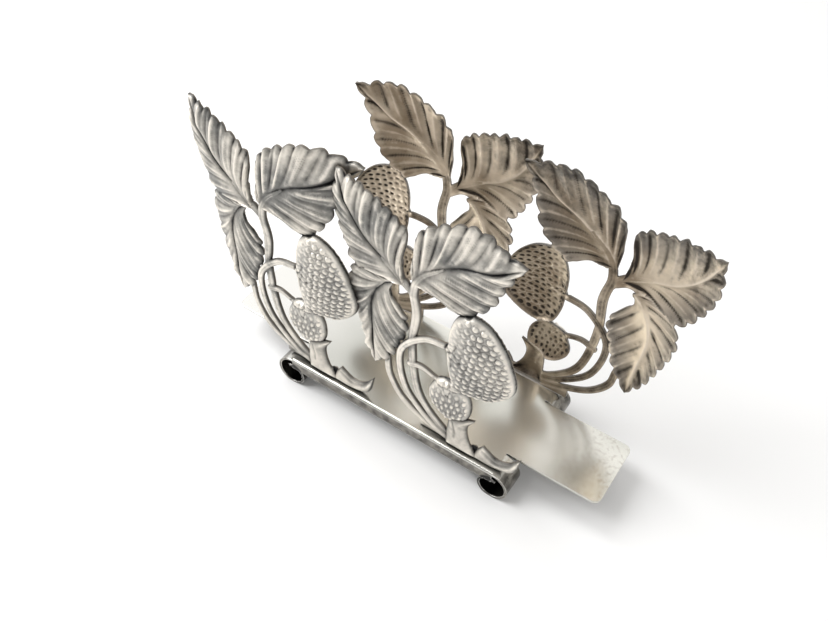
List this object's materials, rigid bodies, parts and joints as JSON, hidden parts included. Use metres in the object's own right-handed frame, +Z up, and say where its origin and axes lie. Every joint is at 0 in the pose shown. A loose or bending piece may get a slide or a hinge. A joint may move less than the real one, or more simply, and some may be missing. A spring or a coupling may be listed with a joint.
{
  "type": "toast rack",
  "caption": "Footed toast rack: flat sheet base on rolled scroll feet, with fences of pierced, die-struck strawberry sprigs soldered along both long edges to hold toast between them.",
  "frame": {"origin": "on the table, under the middle of the rack", "axes": "+X along the rack's length, +Y from the front fence to the back fence, +Z up"},
  "size_m": [0.1858, 0.0578, 0.1229],
  "materials": {
    "base_silver": "worn silver plate on brass sheet, soft satin with light scratches and a little tarnish",
    "struck_silver": "silver-plated struck brass sheet, oxidised dark in the recesses and rubbed bright on the high points, warm brown tarnish inside",
    "solder": "dull grey soft solder"
  },
  "bodies": {
    "root": {"base_plate": "base_silver", "sprig_front_left": "struck_silver", "sprig_front_right": "struck_silver", "sprig_back_left": "struck_silver", "sprig_back_right": "struck_silver", "solder_bars_front": "solder", "solder_bars_back": "solder"}
  },
  "joints": []
}
